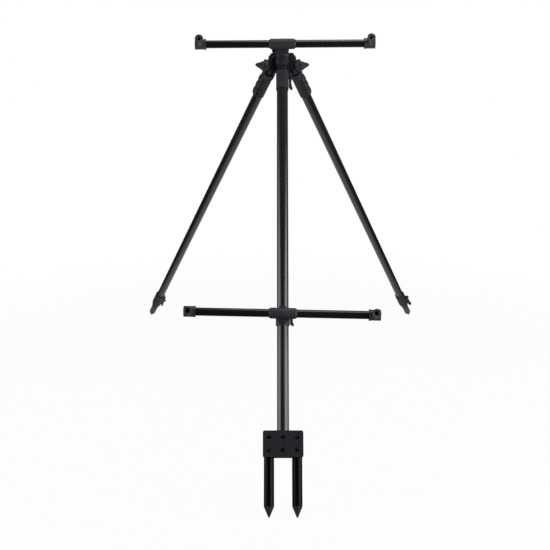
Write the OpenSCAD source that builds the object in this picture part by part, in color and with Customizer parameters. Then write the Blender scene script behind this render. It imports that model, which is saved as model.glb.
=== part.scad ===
// Rod pod. A main tube leans on a two-spike fork and on a pair of telescopic legs that fold on
// a bracket. Two cross bars carry threaded sockets for bite alarms and rod rests. The bracket,
// both cross bars and the inner legs are held by cam levers that press a brake shoe on the tube.

/* [Main bar] */
// Outer diameter of the main tube
main_od = 23; // [20:0.5:24]
// Wall of the main tube
main_wall = 1.5; // [1:0.1:2.5]
// Length of the main tube
main_len = 859; // [800:1:950]
// Thickness of the plug's flange on the upper end
plug_flange = 2.5; // [1.5:0.5:5]
// Depth of the plug in the tube
plug_depth = 14; // [8:1:25]

/* [Fork] */
// Distance between the two spike axes
fork_pitch = 53.5; // [52:0.5:66]
// Outer diameter of a spike tube
spike_od = 19.5; // [16:0.5:20]
// Wall of a spike tube
spike_wall = 2; // [1.2:0.1:3]
// Length of a spike below the fork block
spike_drop = 110; // [80:1:150]
// Length of the cone on every spike
cone_len = 19; // [14:0.5:26]
// Radius of the rounded point on every spike
tip_r = 1.5; // [1:0.1:2.5]
// Width of the fork block
block_w = 77; // [76:1:90]
// Height of the fork block
block_h = 50; // [44:1:64]
// Thickness of the two fork shells together
block_t = 36; // [35:0.5:40]
// Gap between the two fork shells
block_split = 0.8; // [0.4:0.1:2]
// Corner radius of the fork block
block_corner = 4; // [2:0.5:7]
// Floor left in the shells past the end of each tube
block_floor = 3; // [2:0.5:6]
// Diameter of a fork screw
screw_d = 4; // [3:0.5:5]
// Height between the two rows of fork screws
screw_rows = 24; // [20:1:30]

/* [Cross bars] */
// Outer diameter of a bar tube
bar_od = 16; // [14:0.5:18]
// Wall of a bar tube
bar_wall = 1.3; // [1:0.1:2]
// Distance between the two threaded sockets of the front bar
front_pitch = 354; // [300:2:420]
// Distance between the two threaded sockets of the rear bar
rear_pitch = 363; // [300:1:420]
// Sideways place of the front bar in its sleeve
front_shift = 5.8; // [-20:0.2:20]
// Sideways place of the rear bar in its sleeve
rear_shift = -1.4; // [-20:0.2:20]
// Height of the rear bar on the main tube, from the spike points
rear_bar_s = 385; // [350:1:450]
// Distance of the front bar below the upper end of the main tube
front_inset = 17; // [15:0.5:24]
// Distance of a bar's axis in front of the main tube's axis
bar_offset = 24.5; // [23.5:0.5:30]
// Angle by which the front bar stands off square to the main tube
front_bar_tilt = -0.4; // [-2:0.1:2]
// Angle by which the rear bar stands off square to the main tube
rear_bar_tilt = 1.2; // [-2:0.1:2]
// Angle by which the front bar's sockets are turned down about the bar
front_roll = 0; // [-15:0.5:15]
// Angle by which the rear bar's left socket is turned down about the bar
rear_left_roll = 8.5; // [-15:0.5:15]
// Angle by which the rear bar's right socket is turned down about the bar
rear_right_roll = 3; // [-15:0.5:15]
// Length of the sleeve that holds a bar
sleeve_len = 55; // [46:1:70]
// Wall of the sleeve
sleeve_wall = 2.8; // [2:0.1:3.5]
// Height of a clamp collar below the bar's axis
collar_below = 20.5; // [18:0.5:28]
// Height of a clamp collar above the bar's axis
collar_above = 12; // [10:0.5:16]
// Radius of the round saddle between collar and sleeve
saddle_r = 16.5; // [14:0.5:19]
// Depth of the chamfer on a sleeve's ends
sleeve_edge = 2.2; // [0.5:0.1:2.6]
// Length of the chamfer on a sleeve's ends
sleeve_run = 4; // [1:0.5:10]
// Height of the lip on a collar's front, above the bar's axis
lip_h = 17.6; // [14:0.2:22]
// Width of the lip on a collar's front
lip_w = 13.6; // [8:0.2:18]

/* [Sockets] */
// Outer diameter of a socket tower
tower_od = 17; // [15:0.5:20]
// Height of a socket's face above the bar's axis
tower_h = 28; // [24:0.5:36]
// Wall of the end cap round the bar tube
cap_wall = 2.6; // [2:0.1:4]
// Length of the end cap past the socket's axis
cap_past = 10; // [9:0.5:14]
// Length of the end cap towards the middle, from the socket's axis
cap_inner = 13; // [10:0.5:20]
// Diameter of the threaded hole, measured on its wall
thread_d = 8.3; // [6:0.1:9]
// Wall of the threaded insert
insert_wall = 1.9; // [1.2:0.1:2.5]
// Depth of the threaded insert
insert_len = 15; // [10:0.5:18]

/* [Leg bracket] */
// Distance of the leg pivots below the front bar's axis
pivot_drop = 31; // [30:0.5:40]
// Sideways distance of a leg pivot from the main tube's axis
pivot_x = 22; // [22:0.5:26]
// Distance of the leg pivots behind the main tube's axis
pivot_y = 20; // [19:0.5:24]
// Angle by which each leg is toed outwards
toe = 19.4; // [12:0.1:24]
// Angle between an open leg and the main tube
leg_open = 74; // [60:0.5:85]
// Thickness of an ear along the pivot
ear_w = 14; // [13:0.5:16]
// Radius of an ear round its pivot
ear_r = 16; // [14:0.5:18]
// Height of an ear above its pivot
ear_top = 28; // [24:0.5:32]
// Radius of an ear's outer upper edge
ear_edge = 7; // [3:0.5:11]
// Depth of an ear in front of its pivot
ear_front = 11; // [9:0.5:12]
// Depth of an ear behind its pivot, above the hinge
ear_back = 3; // [2:0.5:8]
// Room between the bracket and the front clamp's collar
bracket_room = 3.2; // [2.8:0.1:3.4]
// Thickness of the leg's hinge tongue
tongue_w = 5.8; // [4:0.1:7]
// Diameter of a pivot bolt
bolt_d = 8; // [6:0.5:9]
// Height of the octagonal collar
octagon_h = 39; // [30:1:50]
// Width of the octagonal collar across its flats
octagon_w = 26; // [26:0.5:29]
// Distance of the octagonal collar's upper edge below the pivots
octagon_drop = 21; // [19:0.5:30]
// Height of the bracket's upper ring
ring_h = 19; // [12:0.5:19]
// Wall of the bracket's upper ring
ring_wall = 1.7; // [1:0.1:2]
// Radius of the ring's curved lower edge
ring_curve = 18; // [14:0.5:30]

/* [Legs] */
// Outer diameter of a leg tube
leg_od = 21; // [18:0.5:21.5]
// Wall of a leg tube
leg_wall = 1.4; // [1:0.1:1.6]
// Length of a leg tube
leg_len = 1024; // [900:2:1150]
// Length of the faceted leg head below its shoulder
head_len = 16; // [12:0.5:22]
// Width of the leg head across its flats
head_w = 25.5; // [25:0.5:27]
// Length of the grip below the leg head
grip_len = 59; // [50:1:80]
// Wall of the grip's moulded core
grip_wall = 1.7; // [1.5:0.1:3]
// Height of the finger bumps above the leg's axis
bump_reach = 16; // [14.5:0.5:18]
// Distance between two finger bumps
bump_pitch = 19.5; // [16:0.5:23]
// Radius of a finger bump
bump_r = 24; // [16:0.5:32]
// Width of the rubber grip pad
pad_w = 19; // [14:0.5:22]
// Outer diameter of an inner leg tube
inner_od = 16; // [14:0.5:16.5]
// Wall of an inner leg tube
inner_wall = 1.2; // [1:0.1:1.8]
// Length of an inner leg tube
inner_len = 690; // [600:5:800]
// Length of the guide bush on an inner tube's upper end
bush_len = 24; // [15:1:40]
// Length of a leg spike below its collar
leg_spike_len = 58; // [50:1:80]
// Outer diameter of a leg spike
leg_spike_od = 17.4; // [17:0.2:19]

/* [Leg collars] */
// Outer diameter of a leg collar
leg_collar_od = 27; // [25:0.5:30]
// Length of a leg collar's straight part
leg_collar_len = 48; // [40:1:60]
// Length of a leg collar's tapered part
leg_collar_taper = 24; // [16:1:36]
// Depth of the leg tube in its collar
leg_collar_grip = 18; // [12:1:20]
// Distance of the lever pin below the leg tube's end
leg_pin_drop = 8; // [7:0.5:14]

/* [Cam levers] */
// Wall of a clamp collar round the main tube
collar_wall = 2; // [1.8:0.1:2.2]
// Distance of a lever pin outside the clamped collar
pin_out = 3.6; // [3.4:0.1:5]
// Diameter of a lever pin
pin_d = 2.5; // [2:0.1:3]
// Radius of the cam
cam_r = 3.4; // [3:0.1:3.8]
// Cam throw
cam_throw = 0.4; // [0.2:0.1:0.8]
// Width of a lever
lever_w = 7.4; // [6:0.2:9]
// Thickness of a lever's arm
lever_t = 5.6; // [5:0.2:7]
// How far a lever's foot flares out
lever_flare = 2.4; // [1:0.2:4]
// Thickness of a lever's foot
foot_t = 5; // [2:0.2:7]
// Lever length on the cross bar clamps
bar_lever_len = 20; // [16:0.5:30]
// Lever length on the leg bracket
bracket_lever_len = 29.5; // [24:0.5:40]
// Distance of the bracket's lever pin below the octagonal collar's upper edge
bracket_pin_drop = 9; // [8:0.5:14]
// Lever length on the legs
leg_lever_len = 38; // [28:0.5:44]
// Thickness of a lever's cheek
cheek_t = 2.4; // [1.6:0.1:4]

/* [Knobs] */
// Reach of a knob's lobes
knob_reach = 15.6; // [13:0.2:16]
// Number of lobes
knob_lobes = 3; // [3:1:5]
// Length of a knob along its bolt
knob_len = 29.5; // [27:0.5:36]
// Radius of a knob's hub
hub_r = 9.6; // [8:0.2:11]
// Length of the hub past the lobes
hub_past = 6; // [2:0.5:8]
// Radius of a knob's rounded nose
nose_r = 2.6; // [1.5:0.1:4]
// Thickness of the lobes
lobe_t = 9; // [6:0.5:12]
// Radius of a lobe's round end
lobe_r = 4.6; // [3:0.2:6]

/* [Hidden] */
$fn = 96;
// Clearances
slide_gap = 0.25;
hinge_gap = 0.08;
side_gap = 0.3;
seat_gap = 0.04;
screw_gap = 0.2;
shoe_gap = 0.25;

// Radii
main_r = main_od/2;
spike_r = spike_od/2;
bar_r = bar_od/2;
leg_r = leg_od/2;
inner_r = inner_od/2;
pin_r = pin_d/2;
bolt_r = bolt_d/2;
collar_r = main_r + slide_gap + collar_wall;
sleeve_r = bar_r + sleeve_wall;
cap_r = bar_r + cap_wall;
ring_r = main_r + slide_gap + ring_wall;
grip_r = leg_r + seat_gap + grip_wall;
insert_r = thread_d/2 + insert_wall;

// Heights on the main bar, from the centre of the rounded spike points
block_lo = spike_drop;
block_hi = block_lo + block_h;
block_mid = (block_lo + block_hi)/2;
main_lo = block_lo + block_floor;
main_hi = main_lo + main_len;
spike_hi = block_hi - block_floor;
front_bar_s = main_hi - front_inset;
pivot_s = front_bar_s - pivot_drop;
octagon_hi = pivot_s - octagon_drop;
octagon_lo = octagon_hi - octagon_h;
bracket_pin_s = octagon_hi - bracket_pin_drop;
ring_hi = front_bar_s - collar_below - 3*side_gap;
ring_lo = ring_hi - ring_h;
ear_hi = pivot_s + ear_top;

// Sideways places of the four sockets
front_left_x = front_shift - front_pitch/2;
front_right_x = front_shift + front_pitch/2;
rear_left_x = rear_shift - rear_pitch/2;
rear_right_x = rear_shift + rear_pitch/2;

// Fork screws
head_r = 0.875*screw_d;
head_h = screw_d;
counterbore_r = head_r + screw_gap + 0.4;
nut_r = screw_d;
nut_h = 0.8*screw_d;
head_seat = main_r + 1.4;
screw_x = [-fork_pitch/2, 0, fork_pitch/2];
screw_s = [block_mid - screw_rows/2, block_mid + screw_rows/2];

// Distances down a leg, from its pivot
shoulder_u = ear_r + side_gap + 0.1;
head_end_u = shoulder_u + head_len;
grip_end_u = head_end_u + grip_len;
leg_top_u = shoulder_u + head_len - 2;
leg_end_u = leg_top_u + leg_len;
leg_collar_u = leg_end_u - leg_collar_grip;
leg_pin_u = leg_end_u + leg_pin_drop;
taper_u = leg_collar_u + leg_collar_len;
collar_end_u = taper_u + leg_collar_taper;
spike_top_u = collar_end_u + side_gap;
leg_tip_u = collar_end_u + leg_spike_len;
inner_top_u = spike_top_u - inner_len;
tube_bore_r = leg_r - leg_wall;

// The main bar leans until the leg points and the fork points stand on one level
leg_back = sin(leg_open)*cos(toe);
leg_down = cos(leg_open);
tip_back = pivot_y + leg_tip_u*leg_back;
tip_up = pivot_s - leg_tip_u*leg_down;
lean = atan2(tip_up, tip_back);
stand_y = norm([tip_back, tip_up]);

// Cam lever clamps
pin_x_main = collar_r + pin_out;
pin_x_octagon = octagon_w/2 + pin_out;
pin_x_leg = leg_collar_od/2 + pin_out;
cheek_in = lever_w/2 + side_gap;
cheek_out = cheek_in + cheek_t;
cheek_r = cam_r + 1.2;
window_h = cam_r + cam_throw + side_gap;
arm_in = pin_out - side_gap - 0.1;
arm_out = lever_t - arm_in;

tongue_r = ear_front - 1.9;
slot_w = tongue_w + 2*side_gap;
bolt_head_h = 4.5;
bolt_head_r = 0.8*bolt_d;
knob_start = ear_w/2 + side_gap;
lobe_start = knob_start + 1;
bolt_end = knob_start + knob_len - 10;

black_metal = "#232326";
black_nylon = "#2c2c31";
rubber_grey = "#333337";
steel_grey = "#47484b";
tip_grey = "#4a4a4e";

// Frames. On the main bar z runs up the tube from the fork points, x to the right and y away
// from the fork side. On a leg z runs down the leg from its pivot and x along the pivot.
module on_bar() {
    translate([0, -stand_y/2, tip_r])
        rotate([-lean, 0, 0])
            children();
}

module at_height(s) {
    on_bar()
        translate([0, 0, s])
            children();
}

module at_pivot(side) {
    at_height(pivot_s)
        translate([side*pivot_x, pivot_y, 0])
            rotate([0, 0, -side*toe])
                children();
}

module on_leg(side) {
    at_pivot(side)
        rotate([leg_open - 180, 0, 0])
            children();
}

module mirrored(side) {
    if (side < 0)
        mirror([1, 0, 0]) children();
    else
        children();
}

// Shared shapes
module tube(r, wall, lo, hi) {
    translate([0, 0, lo])
        difference() {
            cylinder(r = r, h = hi - lo);
            translate([0, 0, -1])
                cylinder(r = r - wall, h = hi - lo + 2);
        }
}

module along_x(r, from, to) {
    translate([from, 0, 0])
        rotate([0, 90, 0])
            cylinder(r = r, h = to - from);
}

module along_y(r, from, to) {
    translate([0, from, 0])
        rotate([-90, 0, 0])
            cylinder(r = r, h = to - from);
}

module rounded_rectangle(w, h, r) {
    square([w - 2*r, h], center = true);
    square([w, h - 2*r], center = true);
    for (x = [-1, 1], y = [-1, 1])
        translate([x*(w/2 - r), y*(h/2 - r)])
            circle(r);
}

// A round sleeve along z with chamfered ends
module chamfered_sleeve(r, len, edge, run) {
    end = len/2;
    rotate_extrude()
        polygon([
            [0, -end], [r - edge, -end], [r, run - end], [r, end - run], [r - edge, end], [0, end]
        ]);
}

// A spike point: a cone that ends in a small ball, with a spigot for the tube above it.
// The ball's centre is at z = 0 and the point looks along -z.
module spike_point(r, straight, spigot_r, spigot_len) {
    sphere(tip_r);
    cylinder(r1 = 0.95*tip_r, r2 = r, h = cone_len);
    translate([0, 0, cone_len])
        cylinder(r = r, h = straight);
    translate([0, 0, cone_len + straight])
        cylinder(r = spigot_r, h = spigot_len);
}

// Cam lever clamps, with the pin at z = 0, the lever on the +x side and its foot towards -z
module lever_cheeks(pin_x) {
    for (side = [-1, 1])
        translate([0, side*(cheek_in + cheek_out)/2 - cheek_t/2, 0]) {
            translate([pin_x, 0, 0])
                along_y(cheek_r, 0, cheek_t);
            translate([0, 0, -cheek_r])
                cube([pin_x, cheek_t, 2*cheek_r]);
        }
}

module lever_cuts(pin_x) {
    translate([0, -cheek_in, -window_h])
        cube([pin_x, 2*cheek_in, 2*window_h]);
    translate([pin_x, 0, 0])
        along_y(cam_r + cam_throw + side_gap, -cheek_in, cheek_in);
    translate([pin_x, 0, 0])
        along_y(pin_r + seat_gap, -cheek_out - 1, cheek_out + 1);
}

module lever_pin(pin_x) {
    translate([pin_x, 0, 0])
        along_y(pin_r, -cheek_out, cheek_out);
}

module lever_shoe(pin_x, tube_r) {
    shoe_half = lever_w/2;
    shoe_tall = window_h - side_gap;
    shoe_out = pin_x - cam_r - cam_throw - side_gap;
    difference() {
        translate([0, -shoe_half, -shoe_tall])
            cube([shoe_out, 2*shoe_half, 2*shoe_tall]);
        translate([0, 0, -shoe_tall - 1])
            cylinder(r = tube_r + shoe_gap, h = 2*shoe_tall + 2);
    }
}

module lever(pin_x, len) {
    arm_top = -cam_r/2;
    foot_out = arm_out + lever_flare;
    difference() {
        union() {
            translate([pin_x - cam_throw, 0, 0])
                along_y(cam_r, -lever_w/2, lever_w/2);
            translate([pin_x, lever_w/2, 0])
                rotate([90, 0, 0])
                    linear_extrude(lever_w)
                        polygon([
                            [-arm_in, arm_top], [arm_out, arm_top], [arm_out, -0.68*len],
                            [foot_out, 1 - len], [foot_out, -len], [foot_out - foot_t, -len],
                            [-arm_in, -0.8*len]
                        ]);
        }
        translate([pin_x, 0, 0])
            along_y(pin_r + hinge_gap, -lever_w, lever_w);
    }
}

// Main bar
module cross_holes() {
    for (s = screw_s)
        translate([0, 0, s])
            along_y(screw_d/2 + screw_gap, -block_t, block_t);
}

module main_tube() {
    color(black_metal)
        on_bar()
            difference() {
                tube(main_r, main_wall, main_lo, main_hi);
                cross_holes();
            }
}

module top_plug() {
    color(black_nylon)
        at_height(main_hi) {
            translate([0, 0, -plug_depth])
                cylinder(r = main_r - main_wall - seat_gap, h = plug_depth);
            cylinder(r = main_r, h = plug_flange - 1);
            translate([0, 0, plug_flange - 1])
                cylinder(r1 = main_r, r2 = main_r - 1, h = 1);
        }
}

// Both fork shells before they are split along the tubes
module fork_block() {
    difference() {
        translate([0, block_t/2, block_mid])
            rotate([90, 0, 0])
                linear_extrude(block_t)
                    rounded_rectangle(block_w, block_h, block_corner);
        translate([0, 0, main_lo])
            cylinder(r = main_r + seat_gap, h = block_h);
        for (side = [-1, 1])
            translate([side*fork_pitch/2, 0, 0])
                cylinder(r = spike_r + seat_gap, h = spike_hi);
        for (x = screw_x)
            translate([x, 0, 0])
                cross_holes();
    }
}

module fork_half(side) {
    intersection() {
        fork_block();
        translate([-block_w, side < 0 ? -block_t : block_split/2, 0])
            cube([2*block_w, block_t - block_split/2, block_hi + 1]);
    }
}

module fork_front_shell() {
    color(black_nylon)
        on_bar()
            difference() {
                fork_half(-1);
                for (x = screw_x, s = screw_s)
                    translate([x, 0, s])
                        along_y(counterbore_r, -block_t, -head_seat);
            }
}

module fork_rear_shell() {
    color(black_nylon)
        on_bar()
            difference() {
                fork_half(1);
                for (x = screw_x, s = screw_s)
                    translate([x, head_seat, s])
                        rotate([-90, 0, 0])
                            cylinder(r = nut_r + screw_gap, h = block_t, $fn = 6);
            }
}

module fork_screws() {
    color(steel_grey)
        on_bar()
            for (x = screw_x, s = screw_s)
                translate([x, 0, s])
                    difference() {
                        union() {
                            along_y(screw_d/2, -head_seat, head_seat + nut_h);
                            along_y(head_r, -head_seat - head_h, -head_seat);
                        }
                        translate([0, -head_seat - head_h - 1, 0])
                            rotate([-90, 0, 0])
                                cylinder(r = 0.43*screw_d, h = 1 + head_h/2, $fn = 6);
                    }
}

module fork_nuts() {
    color(steel_grey)
        on_bar()
            for (x = screw_x, s = screw_s)
                translate([x, head_seat, s])
                    rotate([-90, 0, 0])
                        difference() {
                            cylinder(r = nut_r, h = nut_h, $fn = 6);
                            translate([0, 0, -1])
                                cylinder(r = screw_d/2 + seat_gap, h = nut_h + 2);
                        }
}

module spike_tube(side) {
    color(black_metal)
        on_bar()
            translate([side*fork_pitch/2, 0, 0])
                difference() {
                    tube(spike_r, spike_wall, cone_len, spike_hi);
                    cross_holes();
                }
}

module spike_tip(side) {
    color(tip_grey)
        on_bar()
            translate([side*fork_pitch/2, 0, 0])
                spike_point(spike_r, 0, spike_r - spike_wall - seat_gap, spike_od);
}

// Cross bars. A clamp's frame has the main tube along z and the bar's axis at y = -bar_offset.
module on_clamp(s, flip) {
    at_height(s)
        mirrored(flip)
            children();
}

module on_bar_axis(s, tilt, x) {
    at_height(s)
        rotate([0, tilt, 0])
            translate([x, -bar_offset, 0])
                children();
}

module clamp_body(tilt) {
    sleeve_back = -bar_offset + sleeve_r/3;
    difference() {
        union() {
            translate([0, 0, -collar_below + 2])
                cylinder(r = collar_r, h = collar_below + collar_above - 2);
            translate([0, 0, -collar_below])
                cylinder(r1 = collar_r - 1, r2 = collar_r, h = 2);
            intersection() {
                cylinder(r = collar_r, h = lip_h);
                translate([-lip_w/2, -collar_r, 0])
                    cube([lip_w, collar_r, lip_h]);
            }
            intersection() {
                along_y(saddle_r, sleeve_back, 0);
                translate([-collar_r, -bar_offset, -saddle_r])
                    cube([2*collar_r, bar_offset, saddle_r]);
            }
            rotate([0, tilt, 0])
                translate([0, -bar_offset, 0])
                    rotate([0, 90, 0])
                        chamfered_sleeve(sleeve_r, sleeve_len, sleeve_edge, sleeve_run);
            lever_cheeks(pin_x_main);
        }
        translate([0, 0, -collar_below - 1])
            cylinder(r = main_r + slide_gap, h = collar_below + lip_h + collar_above);
        rotate([0, tilt, 0])
            translate([0, -bar_offset, 0])
                along_x(bar_r + seat_gap, -sleeve_len, sleeve_len);
        lever_cuts(pin_x_main);
    }
}

module clamp(s, flip, tilt) {
    color(black_nylon)
        on_clamp(s, flip)
            clamp_body(flip*tilt);
}

module bar_tube(s, tilt, shift, pitch) {
    half = pitch/2 + cap_past - cap_wall;
    color(black_metal)
        on_bar_axis(s, tilt, shift)
            difference() {
                along_x(bar_r, -half, half);
                along_x(bar_r - bar_wall, -half - 1, half + 1);
            }
}

module socket(s, tilt, x, roll) {
    color(black_nylon)
        on_bar_axis(s, tilt, x)
            rotate([roll, 0, 0])
                mirrored(x)
                    difference() {
                        union() {
                            along_x(cap_r, -cap_inner + 3, cap_past);
                            along_x(cap_r + 0.6, -cap_inner, -cap_inner + 3);
                            along_y(tower_od/2, -tower_h, 0);
                        }
                        along_x(bar_r + seat_gap, -cap_inner - 1, cap_past - cap_wall);
                        along_y(insert_r + seat_gap, -tower_h - 1, -tower_h + insert_len);
                    }
}

module insert(s, tilt, x, roll) {
    color(steel_grey)
        on_bar_axis(s, tilt, x)
            rotate([roll, 0, 0])
                difference() {
                    along_y(insert_r, -tower_h, -tower_h + insert_len);
                    along_y(thread_d/2, -tower_h - 1, -tower_h + insert_len + 1);
                }
}

module clamp_shoe(s, flip) {
    color(rubber_grey)
        on_clamp(s, flip)
            lever_shoe(pin_x_main, main_r);
}

module clamp_pin(s, flip) {
    color(steel_grey)
        on_clamp(s, flip)
            lever_pin(pin_x_main);
}

module clamp_lever(s, flip) {
    color(black_nylon)
        on_clamp(s, flip)
            lever(pin_x_main, bar_lever_len);
}

// Leg bracket
module ear() {
    ear_deep = ear_front + ear_r;
    intersection() {
        union() {
            along_x(ear_r, -ear_w/2, ear_w/2);
            translate([-ear_w/2, -ear_front, 0])
                cube([ear_w, ear_front + ear_back, ear_top]);
        }
        translate([-ear_w, -ear_front, -ear_r])
            cube([2*ear_w, ear_deep, ear_r + ear_top]);
        translate([0, ear_deep, 0])
            rotate([90, 0, 0])
                linear_extrude(2*ear_deep) {
                    translate([-ear_w/2, -ear_r])
                        square([ear_w, ear_r + ear_top - ear_edge]);
                    translate([-ear_w/2, -ear_r])
                        square([ear_w - ear_edge, ear_r + ear_top]);
                    translate([ear_w/2 - ear_edge, ear_top - ear_edge])
                        circle(ear_edge);
                }
    }
}

module ear_cuts() {
    slot_r = tongue_r + 2*side_gap;
    along_x(slot_r, -slot_w/2, slot_w/2);
    translate([-slot_w/2, 0, -2*ear_r])
        cube([slot_w, 2*ear_r, 2*ear_r + slot_r]);
    translate([-slot_w/2, -slot_r, -2*ear_r])
        cube([slot_w, slot_r + 2*ear_r, 2*ear_r]);
    along_x(bolt_r + seat_gap, -2*ear_w, 2*ear_w);
}

module leg_bracket() {
    spine_w = 13;
    spine_y = pivot_y;
    bridge_y = collar_r + bracket_room;
    bridge_back = pivot_y + ear_back;
    bridge_lo = pivot_s + bolt_head_r + 3*side_gap;
    bridge_hi = ear_hi - 4;
    octagon_d = octagon_w/cos(22.5);
    color(black_nylon)
        on_bar()
            difference() {
                union() {
                    translate([0, 0, octagon_lo])
                        rotate([0, 0, 22.5])
                            cylinder(d = octagon_d, h = octagon_h, $fn = 8);
                    translate([0, 0, octagon_hi - 1])
                        cylinder(r = ring_r, h = ring_hi - octagon_hi + 1);
                    translate([-spine_w/2, 0, octagon_lo])
                        cube([spine_w, spine_y, ring_hi - octagon_lo]);
                    translate([-pivot_x, bridge_y, bridge_lo])
                        cube([2*pivot_x, bridge_back - bridge_y, bridge_hi - bridge_lo]);
                    translate([-spine_w/2, bridge_y, octagon_hi])
                        cube([spine_w, bridge_back - bridge_y, bridge_hi - octagon_hi]);
                    difference() {
                        for (side = [-1, 1])
                            mirrored(side)
                                translate([pivot_x, pivot_y, pivot_s])
                                    rotate([0, 0, -toe])
                                        ear();
                        cylinder(r = collar_r + bracket_room, h = main_hi);
                    }
                    translate([0, 0, bracket_pin_s])
                        lever_cheeks(pin_x_octagon);
                }
                translate([0, 0, octagon_lo - 1])
                    cylinder(r = main_r + slide_gap, h = main_hi);
                ring_window();
                for (side = [-1, 1])
                    mirrored(side)
                        translate([pivot_x, pivot_y, pivot_s])
                            rotate([0, 0, -toe])
                                ear_cuts();
                translate([0, 0, bracket_pin_s])
                    lever_cuts(pin_x_octagon);
            }
}

// The opening in front, between the octagonal collar and the ring's curved lower edge
module ring_window() {
    difference() {
        translate([-2*main_r, -2*main_r, octagon_hi])
            cube([4*main_r, 2*main_r, ring_hi - octagon_hi - 2]);
        translate([0, 0, ring_lo + ring_curve])
            along_y(ring_curve, -3*main_r, main_r);
    }
}

module bracket_shoe() {
    color(rubber_grey)
        at_height(bracket_pin_s)
            lever_shoe(pin_x_octagon, main_r);
}

module bracket_lever_pin() {
    color(steel_grey)
        at_height(bracket_pin_s)
            lever_pin(pin_x_octagon);
}

module bracket_lever() {
    color(black_nylon)
        at_height(bracket_pin_s)
            lever(pin_x_octagon, bracket_lever_len);
}

module pivot_bolt(side) {
    color(steel_grey)
        at_pivot(side)
            mirrored(side) {
                along_x(bolt_r, -ear_w/2, bolt_end);
                translate([-ear_w/2 - bolt_head_h, 0, 0])
                    rotate([0, 90, 0])
                        cylinder(r = bolt_head_r, h = bolt_head_h, $fn = 6);
            }
}

module knob(side) {
    lobe_hub = knob_reach - lobe_r;
    lobe_end = lobe_start + lobe_t;
    hub_end = lobe_end + hub_past;
    nose_x = knob_start + knob_len - nose_r;
    bore_end = bolt_end + side_gap;
    color(black_nylon)
        at_pivot(side)
            mirrored(side)
                difference() {
                    union() {
                        along_x(hub_r, knob_start, hub_end);
                        translate([hub_end, 0, 0])
                            rotate([0, 90, 0])
                                cylinder(r1 = hub_r, r2 = 0.95*nose_r, h = nose_x - hub_end);
                        translate([nose_x, 0, 0])
                            sphere(nose_r);
                        for (i = [0:knob_lobes - 1])
                            rotate([i*360/knob_lobes, 0, 0]) {
                                translate([0, 0, lobe_hub])
                                    along_x(lobe_r, lobe_start, lobe_end);
                                translate([lobe_start, -lobe_r, 0])
                                    cube([lobe_t, 2*lobe_r, lobe_hub]);
                            }
                    }
                    along_x(bolt_r + hinge_gap, 0, bore_end);
                }
}

// Legs
module leg_head(side) {
    color(black_nylon)
        on_leg(side)
            difference() {
                union() {
                    along_x(tongue_r, -tongue_w/2, tongue_w/2);
                    translate([-tongue_w/2, -tongue_r, 0])
                        cube([tongue_w, 2*tongue_r, shoulder_u + 1]);
                    translate([0, 0, shoulder_u])
                        rotate([0, 0, 22.5])
                            cylinder(d = head_w/cos(22.5), h = head_len, $fn = 8);
                    translate([0, 0, head_end_u])
                        cylinder(r = grip_r, h = grip_len);
                }
                translate([0, 0, leg_top_u])
                    cylinder(r = leg_r + seat_gap, h = grip_len + head_len);
                along_x(bolt_r + hinge_gap, -tongue_w, tongue_w);
            }
}

module grip_pad(side) {
    pad_lo = head_end_u;
    bumps = [-1, 0, 1];
    bump_x = bump_reach - bump_r;
    color(rubber_grey)
        on_leg(side)
            mirrored(side)
                difference() {
                    intersection() {
                        union() {
                            for (i = bumps)
                                translate([bump_x, 0, pad_lo + grip_len/2 + i*bump_pitch])
                                    along_y(bump_r, -pad_w/2, pad_w/2);
                        }
                        translate([0, -pad_w/2, pad_lo])
                            cube([2*bump_reach, pad_w, grip_len]);
                        translate([0, 0, pad_lo])
                            cylinder(r = bump_reach, h = grip_len);
                    }
                    translate([0, 0, pad_lo - 1])
                        cylinder(r = grip_r + seat_gap, h = grip_len + 2);
                }
}

module leg_tube(side) {
    color(black_metal)
        on_leg(side)
            tube(leg_r, leg_wall, leg_top_u, leg_end_u);
}

module at_leg_pin(side) {
    on_leg(side)
        translate([0, 0, leg_pin_u])
            rotate([180, 0, 0])
                children();
}

module leg_collar(side) {
    collar_od_r = leg_collar_od/2;
    end_r = leg_spike_od/2 + 0.8;
    color(black_nylon)
        on_leg(side)
            difference() {
                union() {
                    translate([0, 0, leg_collar_u])
                        cylinder(r1 = collar_od_r - 1, r2 = collar_od_r, h = 1);
                    translate([0, 0, leg_collar_u + 1])
                        cylinder(r = collar_od_r, h = leg_collar_len - 1);
                    translate([0, 0, taper_u])
                        cylinder(r1 = collar_od_r, r2 = end_r, h = leg_collar_taper);
                    translate([0, 0, leg_pin_u])
                        rotate([180, 0, 0])
                            lever_cheeks(pin_x_leg);
                }
                translate([0, 0, leg_collar_u - 1])
                    cylinder(r = leg_r + seat_gap, h = leg_collar_grip + 1);
                translate([0, 0, leg_collar_u])
                    cylinder(r = inner_r + slide_gap, h = leg_tip_u);
                translate([0, 0, leg_pin_u])
                    rotate([180, 0, 0])
                        lever_cuts(pin_x_leg);
            }
}

module leg_shoe(side) {
    color(rubber_grey)
        at_leg_pin(side)
            lever_shoe(pin_x_leg, inner_r);
}

module leg_lever_pin(side) {
    color(steel_grey)
        at_leg_pin(side)
            lever_pin(pin_x_leg);
}

module leg_lever(side) {
    color(black_nylon)
        at_leg_pin(side)
            lever(pin_x_leg, leg_lever_len);
}

module inner_tube(side) {
    color(black_metal)
        on_leg(side)
            tube(inner_r, inner_wall, inner_top_u, spike_top_u);
}

module guide_bush(side) {
    spigot_r = inner_r - inner_wall - seat_gap;
    color(rubber_grey)
        on_leg(side) {
            translate([0, 0, inner_top_u])
                cylinder(r = spigot_r, h = bush_len/2);
            translate([0, 0, inner_top_u - bush_len/2])
                cylinder(r = tube_bore_r - hinge_gap, h = bush_len/2);
        }
}

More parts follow.
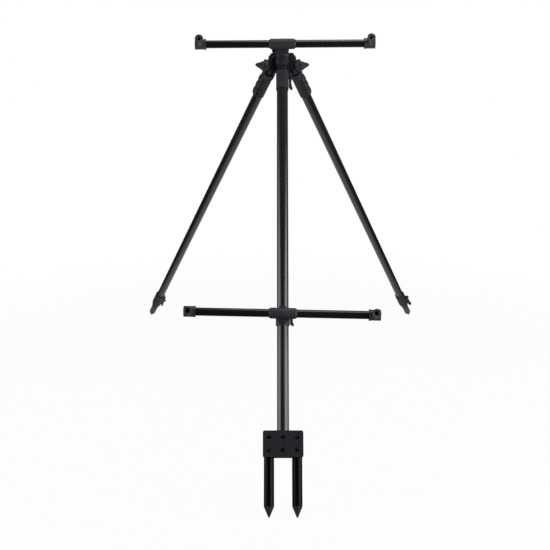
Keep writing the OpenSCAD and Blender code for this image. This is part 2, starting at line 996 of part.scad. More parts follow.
module leg_spike(side) {
    straight = leg_tip_u - spike_top_u - cone_len;
    color(tip_grey)
        on_leg(side)
            translate([0, 0, leg_tip_u])
                rotate([180, 0, 0])
                    spike_point(leg_spike_od/2, straight, inner_r - inner_wall - seat_gap, spike_od);
}

main_tube();
top_plug();
fork_front_shell();
fork_rear_shell();
fork_screws();
fork_nuts();
spike_tube(-1);  // left_spike_tube
spike_tube(1);  // right_spike_tube
spike_tip(-1);  // left_spike_tip
spike_tip(1);  // right_spike_tip
clamp(front_bar_s, -1, front_bar_tilt);  // front_clamp
bar_tube(front_bar_s, front_bar_tilt, front_shift, front_pitch);  // front_bar_tube
socket(front_bar_s, front_bar_tilt, front_left_x, front_roll);  // front_left_socket
socket(front_bar_s, front_bar_tilt, front_right_x, front_roll);  // front_right_socket
insert(front_bar_s, front_bar_tilt, front_left_x, front_roll);  // front_left_insert
insert(front_bar_s, front_bar_tilt, front_right_x, front_roll);  // front_right_insert
clamp_shoe(front_bar_s, -1);  // front_shoe
clamp_pin(front_bar_s, -1);  // front_lever_pin
clamp_lever(front_bar_s, -1);  // front_lever
clamp(rear_bar_s, 1, rear_bar_tilt);  // rear_clamp
bar_tube(rear_bar_s, rear_bar_tilt, rear_shift, rear_pitch);  // rear_bar_tube
socket(rear_bar_s, rear_bar_tilt, rear_left_x, rear_left_roll);  // rear_left_socket
socket(rear_bar_s, rear_bar_tilt, rear_right_x, rear_right_roll);  // rear_right_socket
insert(rear_bar_s, rear_bar_tilt, rear_left_x, rear_left_roll);  // rear_left_insert
insert(rear_bar_s, rear_bar_tilt, rear_right_x, rear_right_roll);  // rear_right_insert
clamp_shoe(rear_bar_s, 1);  // rear_shoe
clamp_pin(rear_bar_s, 1);  // rear_lever_pin
clamp_lever(rear_bar_s, 1);  // rear_lever
leg_bracket();
bracket_shoe();
bracket_lever_pin();
bracket_lever();
pivot_bolt(-1);  // left_pivot_bolt
pivot_bolt(1);  // right_pivot_bolt
knob(-1);  // left_knob
knob(1);  // right_knob
leg_head(-1);  // left_leg_head
grip_pad(-1);  // left_grip_pad
leg_tube(-1);  // left_leg_tube
leg_collar(-1);  // left_leg_collar
leg_shoe(-1);  // left_leg_shoe
leg_lever_pin(-1);  // left_leg_lever_pin
leg_lever(-1);  // left_leg_lever
inner_tube(-1);  // left_inner_tube
guide_bush(-1);  // left_guide_bush
leg_spike(-1);  // left_leg_spike
leg_head(1);  // right_leg_head
grip_pad(1);  // right_grip_pad
leg_tube(1);  // right_leg_tube
leg_collar(1);  // right_leg_collar
leg_shoe(1);  // right_leg_shoe
leg_lever_pin(1);  // right_leg_lever_pin
leg_lever(1);  // right_leg_lever
inner_tube(1);  // right_inner_tube
guide_bush(1);  // right_guide_bush
leg_spike(1);  // right_leg_spike
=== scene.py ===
import math

import bpy
from mathutils import Matrix, Vector


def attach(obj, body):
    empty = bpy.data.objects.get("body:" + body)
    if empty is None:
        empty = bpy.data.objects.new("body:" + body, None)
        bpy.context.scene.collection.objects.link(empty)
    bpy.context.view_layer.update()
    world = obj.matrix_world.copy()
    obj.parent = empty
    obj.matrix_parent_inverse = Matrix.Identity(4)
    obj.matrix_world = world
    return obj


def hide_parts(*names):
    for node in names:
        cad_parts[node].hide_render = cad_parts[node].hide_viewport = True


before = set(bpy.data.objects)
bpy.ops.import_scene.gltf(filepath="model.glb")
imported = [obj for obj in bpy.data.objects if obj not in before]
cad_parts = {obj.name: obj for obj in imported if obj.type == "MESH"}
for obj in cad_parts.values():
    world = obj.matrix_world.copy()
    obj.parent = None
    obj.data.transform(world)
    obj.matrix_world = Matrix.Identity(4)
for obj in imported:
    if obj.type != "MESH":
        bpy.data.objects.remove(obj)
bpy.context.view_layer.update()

# Main tube. A drawn aluminium tube of 23 mm, hard anodised black and sealed, which leaves a smooth
# semi-gloss skin with faint lines along the draw. It leans back from the fork at 29 degrees, and the
# pod's points stand 1.23 m apart on the ground. Sizes of pieces are in mm, and angles in degrees.
lean = 29.211
stand = 1234.556
tip_r = 1.5
main_low, main_high = 113, 972
main_r, main_wall = 11.5, 1.5
bar_place = (Matrix.Translation((0, -stand / 2000, tip_r / 1000))
             @ Matrix.Rotation(math.radians(-lean), 4, "X"))


def linear(code):
    """sRGB hex code to the linear colour that a shader takes."""
    parts = [int(code[i:i + 2], 16) / 255 for i in (1, 3, 5)]
    return [p / 12.92 if p < 0.04045 else ((p + 0.055) / 1.055) ** 2.4 for p in parts] + [1]


def add(tree, kind, links=None, **settings):
    """Adds a node, sets its options, and sets or links its inputs."""
    made = tree.nodes.new(kind)
    for name, value in settings.items():
        setattr(made, name, value)
    for name, value in (links or {}).items():
        if isinstance(value, bpy.types.NodeSocket):
            tree.links.new(value, made.inputs[name])
        else:
            made.inputs[name].default_value = value
    return made


def anodised_tube(name, place, dark="#101012", pale="#1a191b", ior=1.62):
    """Black anodised drawn aluminium. Draw lines run along the tube, 2 mm apart so that they show, and
    cloudy patches of 30 mm change the tone and the gloss a little, as handling does."""
    finish = bpy.data.materials.new(name)
    finish.use_nodes = True
    tree = finish.node_tree
    skin = tree.nodes["Principled BSDF"]
    skin.inputs["IOR"].default_value = ior
    spot = add(tree, "ShaderNodeTexCoord")
    turn = place.to_euler("XYZ")
    along = add(tree, "ShaderNodeMapping", {"Vector": spot.outputs["Object"], "Rotation": turn,
                                            "Scale": (0.002, 0.002, 0.4)}, vector_type="TEXTURE")
    lines = add(tree, "ShaderNodeTexNoise", {"Vector": along.outputs[0], "Scale": 1, "Detail": 0})
    patch = add(tree, "ShaderNodeMapping", {"Vector": spot.outputs["Object"], "Rotation": turn,
                                            "Scale": (0.03, 0.03, 0.2)}, vector_type="TEXTURE")
    clouds = add(tree, "ShaderNodeTexNoise", {"Vector": patch.outputs[0], "Scale": 1, "Detail": 1})
    tone = add(tree, "ShaderNodeMix", {"Factor": clouds.outputs["Fac"], "A": linear(dark),
                                       "B": linear(pale)}, data_type="RGBA")
    tree.links.new(tone.outputs["Result"], skin.inputs["Base Color"])
    streaks = add(tree, "ShaderNodeMix", {"Factor": 0.35, "A": clouds.outputs["Fac"],
                                          "B": lines.outputs["Fac"]})
    gloss = add(tree, "ShaderNodeMapRange", {"Value": streaks.outputs[0], "From Min": 0.3, "From Max": 0.7,
                                             "To Min": 0.2, "To Max": 0.3})
    tree.links.new(gloss.outputs[0], skin.inputs["Roughness"])
    return finish


def turned(name, profile, sweep=360, steps=72):
    """A turned piece: a profile of (radius, height) in mm is drawn point by point and spun round z."""
    bpy.ops.object.select_all(action="DESELECT")
    bpy.ops.mesh.primitive_plane_add(size=0.001)
    piece = bpy.context.active_object
    piece.name = name
    bpy.ops.object.mode_set(mode="EDIT")
    bpy.ops.mesh.select_all(action="SELECT")
    bpy.ops.mesh.merge(type="CENTER")
    bpy.ops.transform.translate(value=(profile[0][0] / 1000, 0, profile[0][1] / 1000))
    for (r, z), (next_r, next_z) in zip(profile, profile[1:]):
        step = ((next_r - r) / 1000, 0, (next_z - z) / 1000)
        bpy.ops.mesh.extrude_region_move(TRANSFORM_OT_translate={"value": step})
    bpy.ops.mesh.select_all(action="SELECT")
    bpy.ops.mesh.spin(steps=steps, angle=math.radians(sweep), center=(0, 0, 0), axis=(0, 0, 1))
    bpy.ops.mesh.select_all(action="SELECT")
    bpy.ops.mesh.remove_doubles(threshold=1e-6)
    if sweep < 360:
        bpy.ops.mesh.fill_holes(sides=0)
    bpy.ops.mesh.normals_make_consistent(inside=False)
    bpy.ops.object.mode_set(mode="OBJECT")
    return piece


def drawn_tube(r, wall, low, high):
    """Profile of a sawn tube whose outer edges are broken at both ends."""
    bore = r - wall
    broken = 0.4
    return [(bore, low), (r - broken, low), (r, low + broken), (r, high - broken),
            (r - broken, high), (bore, high), (bore, low)]


def seat(piece, place, finish, body, node):
    """Puts a finished piece in its place on the object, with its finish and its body."""
    bpy.ops.object.select_all(action="DESELECT")
    piece.select_set(True)
    bpy.context.view_layer.objects.active = piece
    piece.matrix_world = place
    bpy.ops.object.transform_apply(location=True, rotation=True, scale=True)
    bpy.ops.object.shade_smooth_by_angle(angle=math.radians(32))
    piece.data.materials.clear()
    piece.data.materials.append(finish)
    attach(piece, body)
    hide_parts(node)


bar_anodising = anodised_tube("black_anodised_aluminium_bar", bar_place)
main_tube = turned("main_tube_drawn", drawn_tube(main_r, main_wall, main_low, main_high))
seat(main_tube, bar_place, bar_anodising, "main_bar", "main_tube")

# Top plug. A push-in nylon plug closes the upper end of the main tube; its flange is as wide as the
# tube and its edge is rounded. The bar clamps, levers, knobs and leg collars are of the same nylon.
plug_gap = 0.04
plug_r = main_r - main_wall - plug_gap
plug_low, plug_high = main_high - 14, main_high + 2.5


def moulded_skin(name, low, high, grain_size, rough, ior):
    """Skin of a moulded part, between two tones. The spark-eroded grain of grain_size mm is coarser than
    a real one, so that it shows. The tone clouds slowly over 14 mm where the melt flowed. Painted shade:
    in gaps and corners narrower than about 4 mm the colour goes nearly black and the shine is cut."""
    finish = bpy.data.materials.new(name)
    finish.use_nodes = True
    tree = finish.node_tree
    skin = tree.nodes["Principled BSDF"]
    skin.inputs["IOR"].default_value = ior
    spot = add(tree, "ShaderNodeTexCoord")
    fine = add(tree, "ShaderNodeMapping", {"Vector": spot.outputs["Object"],
                                           "Scale": [grain_size / 1000] * 3}, vector_type="TEXTURE")
    grain = add(tree, "ShaderNodeTexNoise", {"Vector": fine.outputs[0], "Scale": 1, "Detail": 3})
    wide = add(tree, "ShaderNodeMapping", {"Vector": spot.outputs["Object"], "Scale": [0.014] * 3},
               vector_type="TEXTURE")
    flow = add(tree, "ShaderNodeTexNoise", {"Vector": wide.outputs[0], "Scale": 1, "Detail": 3})
    tone = add(tree, "ShaderNodeMix", {"Factor": flow.outputs["Fac"], "A": linear(low), "B": linear(high)},
               data_type="RGBA")
    # Painted shade: occlusion darkens the colour and the shine in gaps and corners.
    corner = add(tree, "ShaderNodeAmbientOcclusion", {"Distance": 0.004}, samples=8)
    unshaded = add(tree, "ShaderNodeMapRange", {"Value": corner.outputs["AO"], "From Min": 0.1, "From Max": 0.6})
    corner_shaded_tone = add(tree, "ShaderNodeMix", {"Factor": unshaded.outputs[0], "A": linear("#050506"),
                                         "B": tone.outputs["Result"]}, data_type="RGBA")
    tree.links.new(corner_shaded_tone.outputs["Result"], skin.inputs["Base Color"])
    corner_shaded_shine = add(tree, "ShaderNodeMath", {0: unshaded.outputs[0], 1: 0.5}, operation="MULTIPLY")
    tree.links.new(corner_shaded_shine.outputs[0], skin.inputs["Specular IOR Level"])
    gloss = add(tree, "ShaderNodeMapRange", {"Value": grain.outputs["Fac"], "From Min": 0.3, "From Max": 0.7,
                                             "To Min": rough - 0.08, "To Max": rough + 0.08})
    tree.links.new(gloss.outputs[0], skin.inputs["Roughness"])
    relief = add(tree, "ShaderNodeBump", {"Height": grain.outputs["Fac"], "Strength": 0.2,
                                          "Distance": grain_size / 12000})
    tree.links.new(relief.outputs[0], skin.inputs["Normal"])
    return finish


nylon = moulded_skin("black_glass_filled_nylon", "#1f1e24", "#2b2a32", grain_size=0.9, rough=0.58, ior=1.45)
top_plug = turned("top_plug_moulded", [
    (0, plug_low), (plug_r - 0.6, plug_low), (plug_r, plug_low + 0.6), (plug_r, main_high),
    (main_r, main_high), (main_r, plug_high - 1.1), (main_r - 0.4, plug_high - 0.4),
    (main_r - 1.2, plug_high - 0.05), (0, plug_high)])
seat(top_plug, bar_place, nylon, "main_bar", "top_plug")

# Fork shells. Two half shells of moulded nylon, darker than the clamps, hold the main tube and both
# spikes between them, and six screws draw them together. Their edges are rounded by 1.2 mm.


def round_edges(piece, radius, segments, sharper_than):
    """Rounds to about radius mm each edge of the active piece that is sharper than the angle."""
    rounding = piece.modifiers.new("rounding", "BEVEL")
    rounding.width = radius / 1000
    rounding.segments = segments
    rounding.limit_method = "ANGLE"
    rounding.angle_limit = math.radians(sharper_than)
    bpy.ops.object.modifier_apply(modifier="rounding")


def eased(node, radius, finish, body):
    """A piece of its solid's own shape, in its place, with each sharp edge eased to about radius mm."""
    bpy.ops.object.select_all(action="DESELECT")
    piece = bpy.data.objects.new(node + "_moulded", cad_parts[node].data.copy())
    bpy.context.collection.objects.link(piece)
    piece.select_set(True)
    bpy.context.view_layer.objects.active = piece
    bpy.ops.object.mode_set(mode="EDIT")
    bpy.ops.mesh.select_all(action="SELECT")
    bpy.ops.mesh.remove_doubles(threshold=5e-6)
    bpy.ops.mesh.dissolve_limited(angle_limit=math.radians(0.6))
    bpy.ops.object.mode_set(mode="OBJECT")
    round_edges(piece, radius, segments=3, sharper_than=30)
    seat(piece, Matrix.Identity(4), finish, body, node)
    even = piece.modifiers.new("even", "WEIGHTED_NORMAL")
    even.keep_sharp = True
    bpy.ops.object.modifier_apply(modifier="even")


fork_nylon = moulded_skin("darker_black_glass_filled_nylon", "#111117", "#1a1a23",
                          grain_size=0.9, rough=0.5, ior=1.48)
for node in ("fork_front_shell", "fork_rear_shell"):
    eased(node, 1.2, fork_nylon, "main_bar")

# Fork screws and nuts. Six M4 socket cap screws sit deep in counterbores on the front, in hexagon nuts
# let into the rear shell. Steel, blackened in hot oxide, with painted glints: bright specks in its colour.


def rubbed_and_glinting_metal(name, black, bare_and_glint, speck, detail, wear_and_glint, rough):
    """Blackened metal that goes from black to a bright colour in specks of speck mm, between two levels of
    the mask, and is smoother there. On the brass the specks are rubbed wear; on the steel, painted glints."""
    finish = bpy.data.materials.new(name)
    finish.use_nodes = True
    tree = finish.node_tree
    skin = tree.nodes["Principled BSDF"]
    skin.inputs["Metallic"].default_value = 1
    spot = add(tree, "ShaderNodeTexCoord")
    place = add(tree, "ShaderNodeMapping", {"Vector": spot.outputs["Object"], "Scale": [speck / 1000] * 3},
                vector_type="TEXTURE")
    rub_and_glint = add(tree, "ShaderNodeTexNoise", {"Vector": place.outputs[0], "Scale": 1, "Detail": detail})
    wear_and_glint_mask = add(tree, "ShaderNodeMapRange", {"Value": rub_and_glint.outputs["Fac"], "From Min": wear_and_glint[0],
                                            "From Max": wear_and_glint[1]})
    tone = add(tree, "ShaderNodeMix", {"Factor": wear_and_glint_mask.outputs[0], "A": linear(black), "B": linear(bare_and_glint)},
               data_type="RGBA")
    tree.links.new(tone.outputs["Result"], skin.inputs["Base Color"])
    gloss = add(tree, "ShaderNodeMapRange", {"Value": rub_and_glint.outputs["Fac"], "To Min": rough[0],
                                             "To Max": rough[1]})
    tree.links.new(gloss.outputs[0], skin.inputs["Roughness"])
    return finish


# Painted glints: the pale specks on this black steel stand for highlights on the heads.
black_steel = rubbed_and_glinting_metal("black_oxide_steel", "#1e1e20", "#c4c4c6", speck=1.6, detail=5,
                           wear_and_glint=(0.57, 0.66), rough=(0.45, 0.25))
for node in ("fork_screws", "fork_nuts"):
    eased(node, 0.35, black_steel, "main_bar")

# Spikes of the fork. Two tubes of 19.5 mm, anodised to a duller black than the main tube, stand in the
# fork block side by side. Each ends in a turned point whose spigot is pushed into the tube, with a fine
# groove where the two meet.
hands = {"left": -1, "right": 1}
fork_pitch = 53.5
spike_r, spike_wall = 9.75, 2
spike_high = 157
cone_len = 19
land, groove = 0.1, 0.1
spigot_gap, spigot_len = 0.04, 18


def turned_skin(name, place):
    """Dark anodised alloy off the lathe. The tool's rings round the axis of place are drawn 0.7 mm apart
    so that they show, and dust from the ground dulls the skin in patches of 6 mm."""
    finish = bpy.data.materials.new(name)
    finish.use_nodes = True
    tree = finish.node_tree
    skin = tree.nodes["Principled BSDF"]
    skin.inputs["IOR"].default_value = 1.6
    spot = add(tree, "ShaderNodeTexCoord")
    along = add(tree, "ShaderNodeMapping", {"Vector": spot.outputs["Object"],
                                            "Rotation": place.to_euler("XYZ"),
                                            "Scale": (1, 1, 0.0007)}, vector_type="TEXTURE")
    rings = add(tree, "ShaderNodeTexNoise", {"Vector": along.outputs[0], "Scale": 1, "Detail": 1})
    patch = add(tree, "ShaderNodeMapping", {"Vector": spot.outputs["Object"], "Scale": [0.006] * 3},
                vector_type="TEXTURE")
    dust = add(tree, "ShaderNodeTexNoise", {"Vector": patch.outputs[0], "Scale": 1, "Detail": 4})
    tone = add(tree, "ShaderNodeMix", {"Factor": dust.outputs["Fac"], "A": linear("#1f1f21"),
                                       "B": linear("#313133")}, data_type="RGBA")
    tree.links.new(tone.outputs["Result"], skin.inputs["Base Color"])
    gloss = add(tree, "ShaderNodeMapRange", {"Value": dust.outputs["Fac"], "From Min": 0.3, "From Max": 0.7,
                                             "To Min": 0.3, "To Max": 0.46})
    tree.links.new(gloss.outputs[0], skin.inputs["Roughness"])
    relief = add(tree, "ShaderNodeBump", {"Height": rings.outputs["Fac"], "Strength": 0.3,
                                          "Distance": 0.00004})
    tree.links.new(relief.outputs[0], skin.inputs["Normal"])
    return finish


def point_profile(r, straight, spigot_r):
    """Profile of a spike point: a ball at the tip, the cone, a straight part and the spigot in the tube."""
    ball = [(tip_r * math.sin(math.radians(a)), -tip_r * math.cos(math.radians(a))) for a in (0, 30, 60, 80)]
    top = cone_len + straight
    return ball + [(r - 0.3, cone_len - 0.8), (r, cone_len), (r, top - 0.4), (r - 0.4, top),
                   (spigot_r, top), (spigot_r, top + spigot_len), (0, top + spigot_len)]


turned_alloy = turned_skin("dark_anodised_turned_aluminium", bar_place)
spike_anodising = anodised_tube("dull_black_anodised_aluminium_spike", bar_place,
                                dark="#030304", pale="#080809", ior=1.18)
spike_low = cone_len + land + groove
tip_profile = point_profile(spike_r, land, spike_r - spike_wall - spigot_gap)
for hand, side in hands.items():
    spike_place = bar_place @ Matrix.Translation((side * fork_pitch / 2000, 0, 0))
    spike_tube = turned(hand + "_spike_drawn", drawn_tube(spike_r, spike_wall, spike_low, spike_high))
    seat(spike_tube, spike_place, spike_anodising, "main_bar", hand + "_spike_tube")
    spike_tip = turned(hand + "_spike_turned", tip_profile)
    seat(spike_tip, spike_place, turned_alloy, "main_bar", hand + "_spike_tip")

# Leg bracket. One moulding of dark nylon slides on the main tube: an octagonal collar below, a ring
# above, and an ear on each side that forks over the head of a leg. A steel bolt goes through each ear.
bracket_nylon = moulded_skin("dark_black_glass_filled_nylon", "#17161c", "#222129",
                             grain_size=0.9, rough=0.54, ior=1.46)
eased("leg_bracket", 1.0, bracket_nylon, "leg_bracket")
for hand in hands:
    eased(hand + "_pivot_bolt", 0.5, black_steel, "leg_bracket")

# Cross bars. Each is an anodised tube of 16 mm in the sleeve of a nylon clamp that rides on the main
# tube. The sleeve is moulded with the collar, and a round saddle joins the two.
bar_offset = 24.5
bar_r, bar_wall = 8, 1.3
bar_past_socket = 7.4
bars = {"front": {"height": 955, "tilt": -0.4, "shift": 5.8, "pitch": 354},
        "rear": {"height": 385, "tilt": 1.2, "shift": -1.4, "pitch": 363}}
for name, bar in bars.items():
    bar["place"] = (bar_place @ Matrix.Translation((0, 0, bar["height"] / 1000))
                    @ Matrix.Rotation(math.radians(bar["tilt"]), 4, "Y")
                    @ Matrix.Translation((bar["shift"] / 1000, -bar_offset / 1000, 0)))
    lying = bar["place"] @ Matrix.Rotation(math.radians(90), 4, "Y")
    half = bar["pitch"] / 2 + bar_past_socket
    finish = anodised_tube(f"black_anodised_aluminium_{name}_bar", lying,
                           dark="#0c0c0d", pale="#131314", ior=1.42)
    tube = turned(name + "_bar_drawn", drawn_tube(bar_r, bar_wall, -half, half))
    seat(tube, lying, finish, name + "_bar", name + "_bar_tube")
    eased(name + "_clamp", 0.9, nylon, name + "_bar")

# Sockets. A nylon cap closes each end of a cross bar and carries a short round tower for an insert.
# The moulding is paler and shinier than the clamps, because hands rub it each time a rest is changed.
socket_nylon = moulded_skin("handled_black_glass_filled_nylon", "#2b2a31", "#3a3941",
                            grain_size=0.9, rough=0.42, ior=1.5)
for name in bars:
    for hand in hands:
        eased(f"{name}_{hand}_socket", 0.9, socket_nylon, name + "_bar")

# Threaded inserts. Turned from brass and blackened, then rubbed to a dull grey by the studs. The thread,
# 3/8 inch at 20 to the inch, is drawn as rings. Those of the rear bar are turned down a little about it.
thread_pitch = 25.4 / 20
minor_r, major_r, mouth_r = 4.15, 4.72, 4.5
insert_r = 6.05
insert_low, insert_high = 13, 28
lead_in, run_out = 0.5, 1
rim = 0.3
socket_roll = {"front": {"left": 0, "right": 0}, "rear": {"left": 8.5, "right": 3}}
black_brass = rubbed_and_glinting_metal("blackened_turned_brass", "#727173", "#929089", speck=1.2, detail=4,
                           wear_and_glint=(0.55, 0.75), rough=(0.5, 0.3))
thread_low = insert_low + lead_in
ring_count = int((insert_high - thread_low - run_out) / thread_pitch)
insert_profile = [(minor_r, insert_low)]
for k in range(ring_count):
    crest = thread_low + k * thread_pitch
    insert_profile += [(minor_r, crest), (major_r, crest + thread_pitch / 2)]
insert_profile += [(minor_r, thread_low + ring_count * thread_pitch), (mouth_r, insert_high),
                   (insert_r - rim, insert_high), (insert_r, insert_high - rim), (insert_r, insert_low),
                   (minor_r, insert_low)]
for name, bar in bars.items():
    for hand, side in hands.items():
        facing = (bar["place"] @ Matrix.Translation((side * bar["pitch"] / 2000, 0, 0))
                  @ Matrix.Rotation(math.radians(90 + socket_roll[name][hand]), 4, "X"))
        insert = turned(f"{name}_{hand}_insert_turned", insert_profile, steps=48)
        seat(insert, facing, black_brass, name + "_bar", f"{name}_{hand}_insert")

# Legs. The head, of the fork's dark nylon, has a hinge tongue in the ear, an eight-sided shoulder and a
# round grip that the tube of 21 mm is glued into. The tube is anodised as the main tube, and a nylon
# collar closes its lower end. The legs splay by 19.4 degrees and open to 74 degrees off the main tube.
splay, leg_open = 19.4, 74
pivot_side, pivot_back, pivot_height = 22, 20, 924
leg_tube_low, leg_tube_high = 30.4, 1054.4
leg_r, leg_wall = 10.5, 1.4
pivot = {}
leg_place = {}
leg_anodising = {}
for hand, side in hands.items():
    pivot[hand] = (bar_place
                   @ Matrix.Translation((side * pivot_side / 1000, pivot_back / 1000, pivot_height / 1000))
                   @ Matrix.Rotation(math.radians(-side * splay), 4, "Z"))
    leg_place[hand] = pivot[hand] @ Matrix.Rotation(math.radians(leg_open - 180), 4, "X")
    leg_anodising[hand] = anodised_tube(f"black_anodised_aluminium_{hand}_leg", leg_place[hand])
    eased(hand + "_leg_head", 0.8, fork_nylon, hand + "_leg")
    tube = turned(hand + "_leg_drawn", drawn_tube(leg_r, leg_wall, leg_tube_low, leg_tube_high))
    seat(tube, leg_place[hand], leg_anodising[hand], hand + "_leg", hand + "_leg_tube")
    eased(hand + "_leg_collar", 0.8, nylon, hand + "_leg")

# Grips. A pad of soft rubber is moulded onto the outer side of each leg's head, with three rounded
# bumps for the fingers. Rubber is matt, with a finer grain than the nylon.
grip_low, grip_high = 32.4, 91.4
grip_core_r = 12.28
grip_sweep = 84
bump_reach, bump_r, bump_pitch = 16, 24, 19.5
wave_start, wave_steps = 0.8, 29
end_slope = 4
soft_rubber = moulded_skin("soft_moulded_grip_rubber", "#16161a", "#1e1e23",
                           grain_size=0.6, rough=0.66, ior=1.45)
grip_middle = (grip_low + grip_high) / 2
bump_places = [grip_middle + i * bump_pitch for i in (-1, 0, 1)]
wave = [(grip_core_r, grip_low + 0.2)]
for k in range(wave_steps + 1):
    u = grip_low + wave_start + k * (grip_high - grip_low - 2 * wave_start) / wave_steps
    near = min(abs(u - place) for place in bump_places)
    ends = min(u - grip_low, grip_high - u)
    rise = bump_reach - bump_r + math.sqrt(bump_r ** 2 - near ** 2) - grip_core_r
    wave.append((grip_core_r + rise * min(1, ends / end_slope) ** 0.5, u))
wave += [(grip_core_r, grip_high - 0.2), (grip_core_r, grip_low + 0.2)]
for hand, side in hands.items():
    pad = turned(hand + "_grip_pad_moulded", wave, sweep=grip_sweep, steps=20)
    round_edges(pad, radius=1.4, segments=3, sharper_than=50)
    facing = 0 if side > 0 else 180
    outer_side = leg_place[hand] @ Matrix.Rotation(math.radians(facing + grip_sweep / 2), 4, "Z")
    seat(pad, outer_side, soft_rubber, hand + "_leg", hand + "_grip_pad")

# Inner legs. A tube of 16 mm slides in each leg on a bush of acetal and carries a turned spike. It is
# pushed in to the stop, so that only the spike shows below the collar.
inner_low, inner_high = 418.7, 1108.7
inner_r, inner_wall = 8, 1.2
leg_spike_r = 8.7
leg_tip = 1166.4
plain_acetal = moulded_skin("plain_black_acetal", "#1d1d20", "#242428", grain_size=1.2, rough=0.4, ior=1.48)
spike_profile = point_profile(leg_spike_r, leg_tip - inner_high - cone_len, inner_r - inner_wall - spigot_gap)
for hand in hands:
    body = hand + "_extension"
    inner = turned(hand + "_inner_drawn", drawn_tube(inner_r, inner_wall, inner_low, inner_high))
    seat(inner, leg_place[hand], leg_anodising[hand], body, hand + "_inner_tube")
    eased(hand + "_guide_bush", 0.5, plain_acetal, body)
    spike_alloy = turned_skin(f"dark_anodised_turned_aluminium_{hand}_leg", leg_place[hand])
    spike = turned(hand + "_leg_spike_turned", spike_profile)
    tip_place = (leg_place[hand] @ Matrix.Translation((0, 0, leg_tip / 1000))
                 @ Matrix.Rotation(math.pi, 4, "X"))
    seat(spike, tip_place, spike_alloy, body, hand + "_leg_spike")

# Knobs. Three-lobed star knobs on the ends of the pivot bolts, moulded in the clamps' nylon. The lobes
# are next to the ear, and the hub goes on past them to a blunt nose. One lobe points up the main tube.
knob_low, lobe_low, lobe_high, hub_high, knob_high = 7.3, 8.3, 17.3, 23.3, 36.8
hub_r, knob_reach, nose_r = 9.6, 15.6, 2.6
bolt_bore, bore_end = 4.08, 27.1
valley_r = hub_r - 0.4
lobe_count = 3
for hand, side in hands.items():
    hub = turned(hand + "_knob_moulded", [
        (bolt_bore, knob_low), (hub_r - 0.6, knob_low), (hub_r, knob_low + 0.6), (hub_r, hub_high - 3.5),
        (hub_r - 0.3, hub_high - 1.6), (hub_r - 1.2, hub_high), (hub_r - 2.8, hub_high + 2.4),
        (nose_r + 1.2, knob_high - 3.4), (nose_r, knob_high - 1.8), (nose_r * 0.6, knob_high - 0.5),
        (0, knob_high), (0, bore_end), (bolt_bore, bore_end), (bolt_bore, knob_low)])
    bpy.ops.object.select_all(action="DESELECT")
    bpy.ops.mesh.primitive_circle_add(vertices=120, radius=1, fill_type="NGON")
    star = bpy.context.active_object
    for corner in star.data.vertices:
        swell = (0.5 + 0.5 * math.cos(lobe_count * math.atan2(corner.co.y, corner.co.x))) ** 2.5
        reach = (valley_r + (knob_reach - valley_r) * swell) / 1000
        corner.co = (corner.co.x * reach, corner.co.y * reach, lobe_low / 1000)
    bpy.ops.object.mode_set(mode="EDIT")
    bpy.ops.mesh.select_all(action="SELECT")
    bpy.ops.mesh.extrude_region_move(TRANSFORM_OT_translate={"value": (0, 0, (lobe_high - lobe_low) / 1000)})
    bpy.ops.mesh.select_all(action="SELECT")
    bpy.ops.mesh.normals_make_consistent(inside=False)
    bpy.ops.object.mode_set(mode="OBJECT")
    round_edges(star, radius=2.2, segments=4, sharper_than=60)
    bpy.ops.object.select_all(action="DESELECT")
    hub.select_set(True)
    bpy.context.view_layer.objects.active = hub
    weld = hub.modifiers.new("weld", "BOOLEAN")
    weld.operation = "UNION"
    weld.object = star
    bpy.ops.object.modifier_apply(modifier="weld")
    bpy.data.objects.remove(star)
    outwards = (pivot[hand] @ Matrix.Rotation(math.radians(side * 90), 4, "Y")
                @ Matrix.Rotation(math.radians(180 if side > 0 else 0), 4, "Z"))
    seat(hub, outwards, nylon, hand + "_knob", hand + "_knob")

# Clamp levers, shoes and pins. On each of the five clamps a moulded nylon lever turns on a steel pin,
# with its cam round the pin and a foot that flares off the collar for the thumb. Shut, as in use, the
# cam presses a small shoe of acetal on the tube.
clamp_body = {"bracket": "leg_bracket", "front": "front_bar", "rear": "rear_bar",
              "left_leg": "left_leg", "right_leg": "right_leg"}
for clamp, body in clamp_body.items():
    eased(clamp + "_shoe", 0.3, plain_acetal, body)
    eased(clamp + "_lever_pin", 0.3, black_steel, body)
    eased(clamp + "_lever", 0.7, nylon, clamp + "_lever")

# Floor. A pale plain sheet under the points, seen as white from the camera and keeping a faint shadow.
# Polished parts see it as a painted reflection: in glossy rays it glows, bright behind the pod and dim
# elsewhere.
bpy.ops.object.select_all(action="DESELECT")
bpy.ops.mesh.primitive_plane_add(size=16, location=(0, 2, 0))
floor = bpy.context.active_object
floor.name = "floor"
paper = bpy.data.materials.new("white_paper_floor")
paper.use_nodes = True
tree = paper.node_tree
matt = tree.nodes["Principled BSDF"]
matt.inputs["Base Color"].default_value = linear("#d0d0d0")
matt.inputs["Roughness"].default_value = 0.9
matt.inputs["Specular IOR Level"].default_value = 0.1
spot = add(tree, "ShaderNodeNewGeometry")
place = add(tree, "ShaderNodeSeparateXYZ", {"Vector": spot.outputs["Position"]})
aside = add(tree, "ShaderNodeMath", {0: place.outputs["X"]}, operation="ABSOLUTE")
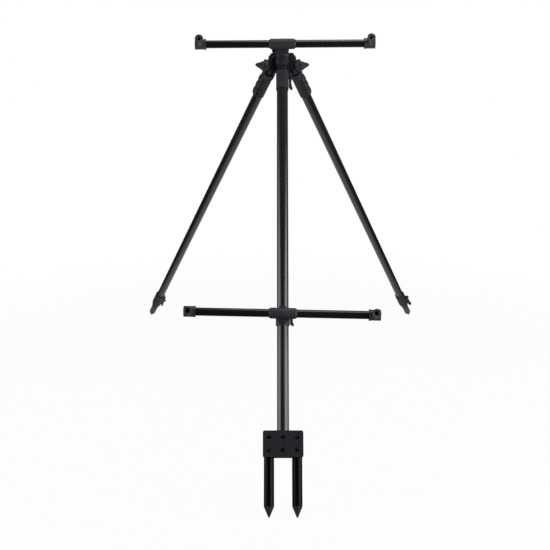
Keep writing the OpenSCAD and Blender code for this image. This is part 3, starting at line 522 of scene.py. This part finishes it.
# Painted reflection: the glow that glossy rays see on the floor, brightest behind the pod.
near = add(tree, "ShaderNodeMapRange", {"Value": aside.outputs[0], "From Min": 0.3, "From Max": 0.62,
                                        "To Min": 1, "To Max": 0}, interpolation_type="SMOOTHSTEP")
glow_behind = add(tree, "ShaderNodeMapRange", {"Value": place.outputs["Y"], "From Min": -0.45, "From Max": 0.2,
                                          "To Min": 0.03, "To Max": 0.62}, interpolation_type="SMOOTHSTEP")
reflection_glow_level = add(tree, "ShaderNodeMath", {0: near.outputs[0], 1: glow_behind.outputs[0], 2: 0.03},
             operation="MULTIPLY_ADD")
painted_reflection_glow = add(tree, "ShaderNodeEmission", {"Color": (1, 1, 1, 1), "Strength": reflection_glow_level.outputs[0]})
light_path = add(tree, "ShaderNodeLightPath")
in_gloss = add(tree, "ShaderNodeMixShader", {0: light_path.outputs["Is Glossy Ray"], 1: matt.outputs[0],
                                             2: painted_reflection_glow.outputs[0]})
afar = add(tree, "ShaderNodeVectorMath", {0: spot.outputs["Position"]}, operation="LENGTH")
clear = add(tree, "ShaderNodeMapRange", {"Value": afar.outputs["Value"], "From Min": 0.7, "From Max": 1.5,
                                         "To Min": 0.95, "To Max": 1}, interpolation_type="SMOOTHSTEP")
share = add(tree, "ShaderNodeMath", {0: light_path.outputs["Is Camera Ray"], 1: clear.outputs[0]},
            operation="MULTIPLY")
white = add(tree, "ShaderNodeEmission", {"Color": (1, 1, 1, 1), "Strength": 1})
seen = add(tree, "ShaderNodeMixShader", {0: share.outputs[0], 1: in_gloss.outputs[0], 2: white.outputs[0]})
tree.links.new(seen.outputs[0], tree.nodes["Material Output"].inputs["Surface"])
floor.data.materials.append(paper)

# Studio. The backdrop is white to the camera, and reflections see a dim room that is a little brighter
# behind the pod. A tall soft box on each side, towards the front, draws the pale band down both sides of
# the main tube, and a weaker one hangs overhead.
world = bpy.data.worlds.new("studio")
bpy.context.scene.world = world
world.use_nodes = True
tree = world.node_tree
room = tree.nodes["Background"]
look = add(tree, "ShaderNodeTexCoord")
back = add(tree, "ShaderNodeVectorMath", {0: look.outputs["Generated"], 1: (0, 0.85, -0.5)},
           operation="DOT_PRODUCT")
shade = add(tree, "ShaderNodeMapRange", {"Value": back.outputs["Value"], "From Min": -0.1, "From Max": 0.9,
                                         "To Min": 0.09, "To Max": 0.2}, interpolation_type="SMOOTHSTEP")
light_path = add(tree, "ShaderNodeLightPath")
fill = add(tree, "ShaderNodeMix", {"Factor": light_path.outputs["Is Diffuse Ray"],
                                   "A": shade.outputs[0], "B": 0.25})
level = add(tree, "ShaderNodeMix", {"Factor": light_path.outputs["Is Camera Ray"],
                                    "A": fill.outputs[0], "B": 1.0})
tree.links.new(level.outputs[0], room.inputs["Strength"])
room.inputs["Color"].default_value = (1, 1, 1, 1)


def soft_box(name, place, turn, width, height, power):
    """A rectangular studio lamp, its place and sizes in metres and its power in watts."""
    bpy.ops.object.light_add(type="AREA", location=place, rotation=turn)
    box = bpy.context.active_object
    box.name = name
    box.data.shape = "RECTANGLE"
    box.data.size = width
    box.data.size_y = height
    box.data.energy = power


box_away, box_middle, box_height, box_tall = 1.15, -0.4, 0.62, 1.05
for hand, forward, width, power in (("left", 12, 1.2, 10.5), ("right", 22, 1.45, 18)):
    turn = math.radians(90 - forward)
    place = (hands[hand] * box_away * math.sin(turn), box_middle - box_away * math.cos(turn), box_height)
    soft_box("soft_box_" + hand, place, (math.radians(90), 0, hands[hand] * turn), width, box_tall, power)
overhead, aim = Vector((0.15, -0.05, 2.0)), Vector((0, -0.1, 0.6))
soft_box("soft_box_overhead", overhead, (aim - overhead).to_track_quat("-Z", "Y").to_euler(), 1.0, 0.6, 9)

# Camera. In front of the fork and looking down on it, at the place, the angle and the focal length that
# were solved from the sockets and the points in the photograph.
focal_px, photo_px = 1003, 550
look_down, look_right = 15.724, 0.018
bpy.ops.object.camera_add(location=(-0.0159, -2.3071, 0.9495),
                          rotation=(math.radians(90 - look_down), 0, math.radians(-look_right)))
camera = bpy.context.active_object
camera.data.sensor_width = 36
camera.data.lens = focal_px / photo_px * camera.data.sensor_width
bpy.context.scene.camera = camera
bpy.context.scene.view_settings.view_transform = "Standard"
